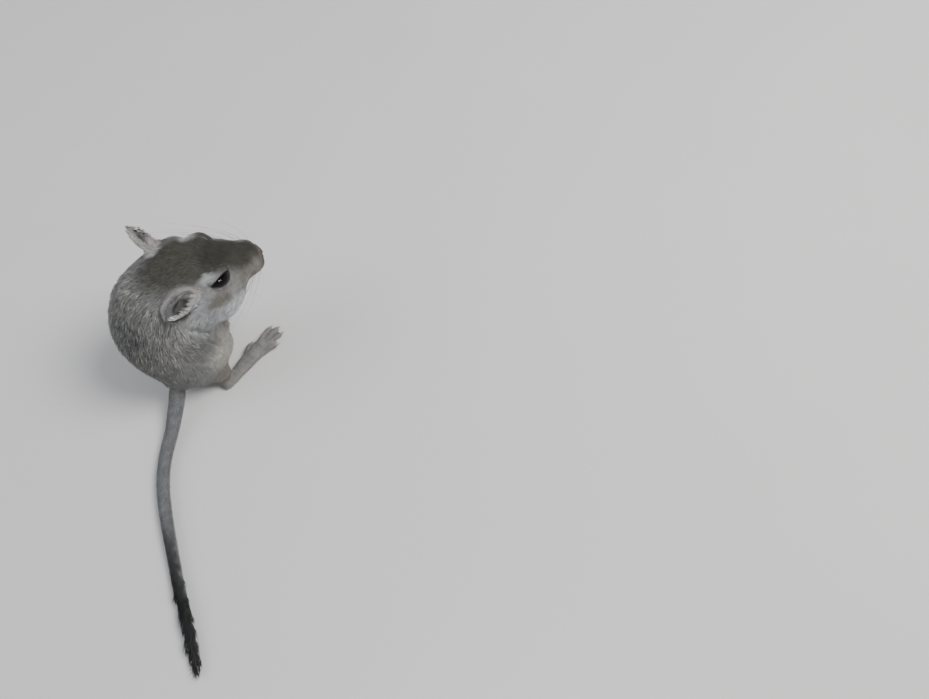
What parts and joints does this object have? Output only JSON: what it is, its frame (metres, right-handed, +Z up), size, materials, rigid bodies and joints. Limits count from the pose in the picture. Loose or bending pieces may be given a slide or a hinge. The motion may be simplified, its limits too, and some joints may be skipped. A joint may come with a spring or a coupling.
{
  "type": "gerbil model",
  "caption": "Still life-size model of a young Mongolian gerbil, sitting hunched on its haunches, forepaws held under the chin and tail laid out behind.",
  "frame": {"origin": "on the floor under the middle of the box around the whole animal", "axes": "+Z up, the body faces -Y with its left side at +X, and the tail runs back towards +Y and -X"},
  "size_m": [0.0844, 0.107, 0.0513],
  "materials": {
    "coat": "short grey-brown ticked coat over skin",
    "bare_skin": "thin pinkish grey skin with sparse short hair",
    "paws": "short whitish grey hair over pink skin, horn claws",
    "eyes": "wet glossy black"
  },
  "bodies": {
    "root": {"hind_leg_left": "coat", "hind_foot_left": "paws", "foreleg_left": "coat", "forepaw_left": "paws", "eye_left": "eyes", "ear_left": "bare_skin", "hind_leg_right": "coat", "hind_foot_right": "paws", "foreleg_right": "coat", "forepaw_right": "paws", "eye_right": "eyes", "ear_right": "bare_skin", "torso": "coat", "neck": "coat", "head": "coat", "nose": "bare_skin", "tail_base": "coat", "tail_middle": "coat", "tail_tip": "coat"}
  },
  "joints": []
}
